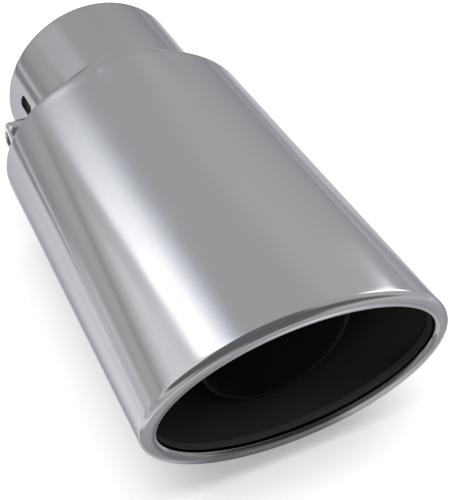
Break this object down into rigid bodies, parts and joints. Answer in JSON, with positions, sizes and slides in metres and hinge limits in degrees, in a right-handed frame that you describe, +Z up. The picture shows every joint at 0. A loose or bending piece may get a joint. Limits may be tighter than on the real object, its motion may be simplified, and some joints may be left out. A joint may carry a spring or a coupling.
{
  "type": "exhaust tip",
  "caption": "Polished oval exhaust tip with a rolled lip, a round neck that slips over the tail pipe, and a set screw in a welded boss.",
  "frame": {"origin": "centre of the neck's mouth, where the tail pipe enters", "axes": "+Y along the neck's axis, out of the neck's mouth; the outlet looks toward -Y; +Z up with the flat side of the oval down"},
  "size_m": [0.0988, 0.164, 0.0666],
  "materials": {
    "polished_steel": "polished stainless sheet, black coated inside",
    "black_coat": "satin black heat-resistant coat",
    "boss_steel": "machined and polished steel",
    "screw_steel": "dark oiled steel"
  },
  "bodies": {
    "root": {"shell": "polished_steel", "inner_tube": "black_coat", "boss": "boss_steel", "set_screw": "screw_steel"}
  },
  "joints": []
}
